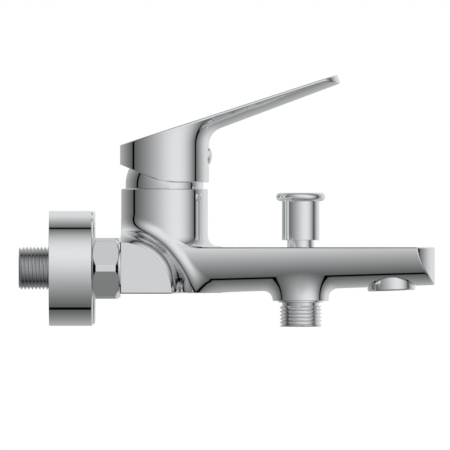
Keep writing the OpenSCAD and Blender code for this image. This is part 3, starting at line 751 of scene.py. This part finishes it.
THREAD_R = 10.4775
nipple = lathe(
    "nipple_turned",
    [
        (7, -29.35, 0.3),
        (THREAD_R, -29.35, 0.5),
        (THREAD_R, -19, 0.1),
        (9.2, -18.9, 0.1),
        (9.4, BOSS_BOTTOM - 0.85, 0.1),
        (11.2, BOSS_BOTTOM - 0.75, 0.2),
        (11.2, BOSS_BOTTOM - 0.02),
        (9.3, BOSS_BOTTOM - 0.02),
        (9.3, -9),
        (5.2, -8.5, 0.2),
        (5.2, -11),
        (7, -13),
    ],
    np.array([DIVERTER_X, 0, 0]),
    UP,
    chrome,
    thread=(-29.0, -19.1),
)
stand_for(nipple, "shower_nipple")

ring = lathe(
    "aerator_ring",
    [
        (9.6, 0, 0.25),
        (AERATOR_R, 0, 1.0),
        (AERATOR_R, 8.2, 0.2),
        (10.6, 8.2),
        (10.6, 1.2),
        (9.6, 1.2),
    ],
    np.array(AERATOR),
    aerator_axis(),
    chrome,
)
stand_for(ring, "aerator_housing")

PLUG_CROWN_R, PLUG_CROWN_TOP = 7.2, 1.6
plug_arc = [
    (PLUG_CROWN_R * math.sin(a), PLUG_CROWN_TOP - PLUG_CROWN_R + PLUG_CROWN_R * math.cos(a))
    for a in np.linspace(0.6058, 0, 8)
]
plug = lathe(
    "plug_turned",
    [(0, -2.9), (4.1, -2.9)] + plug_arc,
    np.array([TOWER_X + CAP_R, 0, PLUG_Z]),
    OUT,
    materials["plug"],
    segments=96,
)
stand_for(plug, "index_plug", slot="plug")


NUT_X = span("union_nut_right", 0)
NUT_FLAT, NUT_CORNER = 15.0, 16.455  # from the axis to a flat, and to where a corner is turned down
NUT_THREAD_R, NUT_THREAD_FROM, NUT_HOLE_R = 13.3, 32, 10.1
CHAMFER = math.pi / 4


def nut_field(p):
    rho = np.maximum(np.hypot(p[:, 1], p[:, 2]), 1e-9)
    shape = None
    for k in range(3):
        for flat, turn in ((NUT_FLAT, 30), (NUT_CORNER, 0)):
            a = math.radians(turn + 60 * k)
            n = np.array([0, math.cos(a), math.sin(a)])
            d = p @ n
            pair = np.abs(d) - flat, np.sign(d)[:, None] * n
            shape = pair if shape is None else common(shape, pair, 0.3)
    cs, sn = math.cos(CHAMFER), math.sin(CHAMFER)
    for end, way in ((NUT_X[0], 1), (NUT_X[1], -1)):
        depth = (p[:, 0] - end) * way
        d = (rho - NUT_FLAT - depth) * cs
        g = np.stack([0 * rho - way * sn, p[:, 1] / rho * cs, p[:, 2] / rho * cs], 1)
        shape = common(shape, (d, g), 0.3)
        shape = common(shape, plane(p, (end, 0, 0), (-way, 0, 0)), 0.2)
    threaded = cylinder(p, (0, 0, 0), OUT, NUT_THREAD_R)
    shape = without(shape, common(threaded, plane(p, (NUT_THREAD_FROM, 0, 0), OUT)), 0.15)
    return without(shape, cylinder(p, (0, 0, 0), OUT, NUT_HOLE_R), 0.2)


nut_mesh = implicit_mesh(nut_field, (NUT_X[0] - 1.5, -18.5, -18.5), (NUT_X[1] + 1.5, 18.5, 18.5), NUT_STEP)
CUP_R, CUP_DEPTH, CUP_WALL, CUP_BEVEL = 28.45, 21.6, 1.4, 0.55

for side, sign in (("left", -1), ("right", 1)):
    base = np.array([0, sign * INLET_Y, 0])
    verts, tris, normals = nut_mesh
    nut = new_mesh_piece("nut_" + side, verts + base, tris.tolist(), normals[tris.ravel()], chrome)
    stand_for(nut, "union_nut_" + side)
    cup = lathe(
        "escutcheon_cup_" + side,
        [
            (CUP_R - CUP_WALL, 0),
            (CUP_R, 0, 0.2),
            (CUP_R, CUP_DEPTH - CUP_BEVEL, 0.12),
            (CUP_R - CUP_BEVEL, CUP_DEPTH, 0.12),
            (14.6, CUP_DEPTH, 0.3),
            (14.6, CUP_DEPTH - CUP_WALL),
            (CUP_R - CUP_WALL, CUP_DEPTH - CUP_WALL, 1.0),
        ],
        base,
        OUT,
        chrome,
        segments=192,
    )
    stand_for(cup, "escutcheon_" + side)
    union_piece = lathe(
        "wall_union_turned_" + side,
        [
            (6.5, -15),
            (9.6, -15, 0.3),
            (THREAD_R, -14.4, 0.2),
            (THREAD_R, 0.2, 0.1),
            (9.3, 0.4, 0.2),
            (9.3, 4, 0.5),
            (11.5, 6, 0.5),
            (11.5, 17),
            (13.2, 17.6),
            (13.2, 27.4, 0.3),
            (6.5, 27.4, 0.3),
        ],
        base,
        OUT,
        materials["raw_thread"],
        thread=(-14.9, 0.1),
    )
    stand_for(union_piece, "wall_union_" + side)
    tail = lathe(
        "inlet_tail_turned_" + side,
        [
            (5.5, 29.4),
            (11.7, 29.4, 0.2),
            (11.7, 31.7, 0.2),
            (9.9, 31.7),
            (9.9, 34.5),
            (12, 34.5, 0.15),
            (12, BACK, 0.1),
            (9.6, BACK),
            (9.6, 42.5, 0.4),
            (5.5, 42.5),
        ],
        base,
        OUT,
        chrome,
    )
    stand_for(tail, "inlet_tail_" + side)


# the escutcheons and their grip rings don't show in the other pieces' reflections
for side in ("left", "right"):
    bpy.data.objects["escutcheon_cup_" + side].visible_glossy = False
    frame["nodes"]["grip_ring_" + side].visible_glossy = False

# ---------------------------------------------------------------- studio

VIEW_WIDTH, VIEW_X, VIEW_Z = 0.225, 0.0871, 0.0215
DISTANCE = 8.0
camera_data = bpy.data.cameras.new("camera")
camera_data.sensor_width = 36
camera_data.lens = 36 * DISTANCE / VIEW_WIDTH
camera_data.clip_start, camera_data.clip_end = 0.5, 20
camera = bpy.data.objects.new("camera", camera_data)
bpy.context.scene.collection.objects.link(camera)
camera.location = (VIEW_X, -DISTANCE, VIEW_Z)
camera.rotation_euler = (math.radians(90), 0, 0)
bpy.context.scene.camera = camera


# Brightness of the studio as a picture shows it, from 0 to 1, against the angle in degrees from its front:
# the peak's angle and level, how steeply it falls away, the levels before and after the seam, and the
# angle from which the back is even, with its level.
SEAM_ANGLE, SEAM_HALF_WIDTH = 88.5, 3.7
FRONT_LEVEL = 0.81
DIM_SIDE = (0, 0.81, 1.0, 0.34, 0.34, 170, 0.68)
BRIGHT_SIDE = (30, 0.88, 2.4, 0.35, 0.40, 140, 0.85)
CHROME_REFLECTS = 0.93
STUDIO_TINT = (0.985, 1.0, 1.005)
RAMP_STOPS = 31


def studio_level(angle, peak_angle, peak, fall, before_seam, after_seam, back_angle, back):
    if angle < peak_angle:
        return FRONT_LEVEL + (peak - FRONT_LEVEL) * math.sin(math.pi / 2 * angle / peak_angle)
    if angle < SEAM_ANGLE:
        return peak - (peak - before_seam) * ((angle - peak_angle) / (SEAM_ANGLE - peak_angle)) ** fall
    rise = min((angle - SEAM_ANGLE) / (back_angle - SEAM_ANGLE), 1)
    return after_seam + (back - after_seam) * math.sin(math.pi / 2 * rise)


def linear(shown):
    """Light that shows as a given brightness."""
    return shown / 12.92 if shown <= 0.04045 else ((shown + 0.055) / 1.055) ** 2.4


def light_ramp(nodes, side):
    """One side of the studio, from its front at 0 to its back at 1."""
    ramp = nodes.new("ShaderNodeValToRGB")
    elements = ramp.color_ramp.elements
    while len(elements) > 1:
        elements.remove(elements[-1])
    for i in range(RAMP_STOPS):
        position = i / (RAMP_STOPS - 1)
        stop = elements.new(position) if i else elements[0]
        stop.position = position
        light = linear(studio_level(180 * position, *side)) / CHROME_REFLECTS
        stop.color = (*(light * tint for tint in STUDIO_TINT), 1)
    return ramp


world = bpy.data.worlds.new("studio")
bpy.context.scene.world = world
world.use_nodes = True
nodes, links = world.node_tree.nodes, world.node_tree.links
nodes.clear()


def maths(operation, a, b=None, c=None):
    node = nodes.new("ShaderNodeMath")
    node.operation = operation
    for slot_index, value in enumerate((a, b, c)):
        if value is None:
            continue
        if isinstance(value, (int, float)):
            node.inputs[slot_index].default_value = value
        else:
            links.new(value, node.inputs[slot_index])
    return node.outputs[0]


coords = nodes.new("ShaderNodeTexCoord")
split = nodes.new("ShaderNodeSeparateXYZ")
links.new(coords.outputs["Generated"], split.inputs[0])
dx, dy, dz = split.outputs
angle = maths("DIVIDE", maths("ARCCOSINE", maths("MULTIPLY", dy, -0.99999)), math.pi)
sine = maths("SQRT", maths("MAXIMUM", maths("SUBTRACT", 1.0, maths("MULTIPLY", dy, dy)), 1e-6))
lean = maths("DIVIDE", maths("ADD", dx, dz), maths("MULTIPLY", sine, math.sqrt(2)))
blend = nodes.new("ShaderNodeMapRange")
blend.interpolation_type = "SMOOTHSTEP"
blend.inputs["From Min"].default_value = -0.7
blend.inputs["From Max"].default_value = 0.7
links.new(lean, blend.inputs["Value"])
dim_side, bright_side = light_ramp(nodes, DIM_SIDE), light_ramp(nodes, BRIGHT_SIDE)
for ramp in (dim_side, bright_side):
    links.new(angle, ramp.inputs["Fac"])
mix = nodes.new("ShaderNodeMix")
mix.data_type = "RGBA"
links.new(blend.outputs["Result"], mix.inputs["Factor"])
links.new(dim_side.outputs["Color"], mix.inputs[6])
links.new(bright_side.outputs["Color"], mix.inputs[7])
studio = nodes.new("ShaderNodeBackground")
links.new(mix.outputs[2], studio.inputs["Color"])
# a dark seam runs right round the studio at SEAM_ANGLE, and closes to nothing at the upper right
SEAM_CLOSING, SEAM_CORE, SEAM_FADE = 3.3, 0.55, 1.35
closing = maths("POWER", maths("MAXIMUM", lean, 0.0), SEAM_CLOSING)
seam = maths("MULTIPLY", maths("SUBTRACT", 1.0, closing), SEAM_HALF_WIDTH / 180)
off_seam = maths("ABSOLUTE", maths("SUBTRACT", angle, SEAM_ANGLE / 180))
dark = nodes.new("ShaderNodeMapRange")
dark.interpolation_type = "SMOOTHSTEP"
links.new(off_seam, dark.inputs["Value"])
links.new(maths("MULTIPLY", seam, SEAM_CORE), dark.inputs["From Min"])
links.new(maths("ADD", maths("MULTIPLY", seam, SEAM_FADE), 0.0005), dark.inputs["From Max"])
links.new(dark.outputs["Result"], studio.inputs["Strength"])
backdrop = nodes.new("ShaderNodeBackground")
backdrop.inputs["Color"].default_value = (1, 1, 1, 1)
path = nodes.new("ShaderNodeLightPath")
choose = nodes.new("ShaderNodeMixShader")
links.new(path.outputs["Is Camera Ray"], choose.inputs["Fac"])
links.new(studio.outputs[0], choose.inputs[1])
links.new(backdrop.outputs[0], choose.inputs[2])
output = nodes.new("ShaderNodeOutputWorld")
links.new(choose.outputs[0], output.inputs["Surface"])

FLOOR_Z, FLOOR_HALF = -0.16, 2.0
floor_mesh = bpy.data.meshes.new("floor")
corners = [(FLOOR_HALF * x, FLOOR_HALF * y, FLOOR_Z) for x, y in ((-1, -1), (1, -1), (1, 1), (-1, 1))]
floor_mesh.from_pydata(corners, [], [(0, 1, 2, 3)])
floor_paint = finish_material("floor", (0.80, 0.80, 0.80), (0.84, 0.84, 0.84), 0.0, (0.6, 0.7), 3)
floor_mesh.materials.append(floor_paint)
floor = bpy.data.objects.new("floor", floor_mesh)
bpy.context.scene.collection.objects.link(floor)
floor.visible_glossy = False

softbox_data = bpy.data.lights.new("softbox", "AREA")
softbox_data.shape = "SQUARE"
softbox_data.size = 1.2
softbox_data.energy = 14
softbox = bpy.data.objects.new("softbox", softbox_data)
bpy.context.scene.collection.objects.link(softbox)
softbox.location = (0.5, -0.6, 1.5)
softbox.rotation_euler = (math.radians(20), math.radians(16), 0)
softbox.visible_glossy = False
softbox.visible_camera = False

bpy.context.scene.view_settings.view_transform = "Standard"
bpy.context.scene.cycles.glossy_bounces = 10
